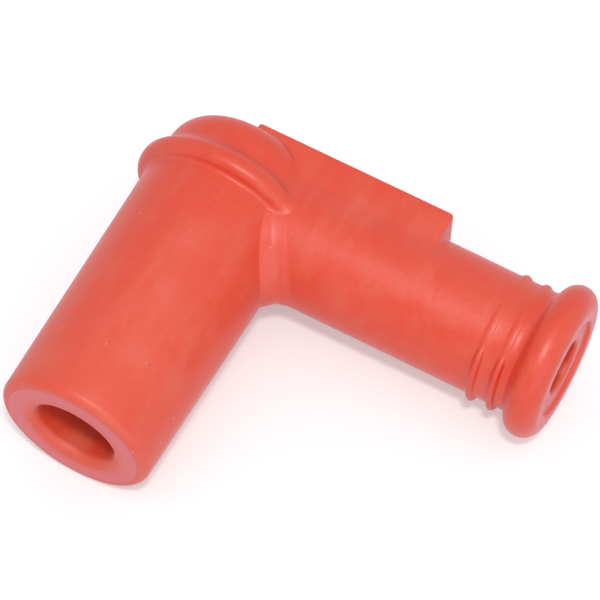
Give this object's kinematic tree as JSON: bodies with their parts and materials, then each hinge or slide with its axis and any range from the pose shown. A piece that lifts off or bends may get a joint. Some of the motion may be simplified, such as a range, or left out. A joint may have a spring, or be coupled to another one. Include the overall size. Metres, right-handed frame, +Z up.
{
  "type": "spark plug cap",
  "caption": "Right-angle moulded silicone spark plug cap with a thumb pad, an elbow bead, ribs, a rolled cable lip and a metal contact inside.",
  "frame": {"origin": "on the surface that the cap lies on, under the middle of its outline seen from above", "axes": "+Z up; the cable arm points along +X and the plug arm along -Y, and each leans about 3 degrees down from the elbow, because the cap rests on its bead, its mouth and its lip"},
  "size_m": [0.06, 0.0476, 0.0242],
  "materials": {
    "silicone": "red moulded silicone, satin",
    "brass": "turned",
    "spring_steel": "drawn wire",
    "plated_steel": "bright zinc plate"
  },
  "bodies": {
    "root": {"boot": "silicone", "contact_barrel": "brass", "snap_wire": "spring_steel", "cable_screw": "plated_steel"}
  },
  "joints": []
}
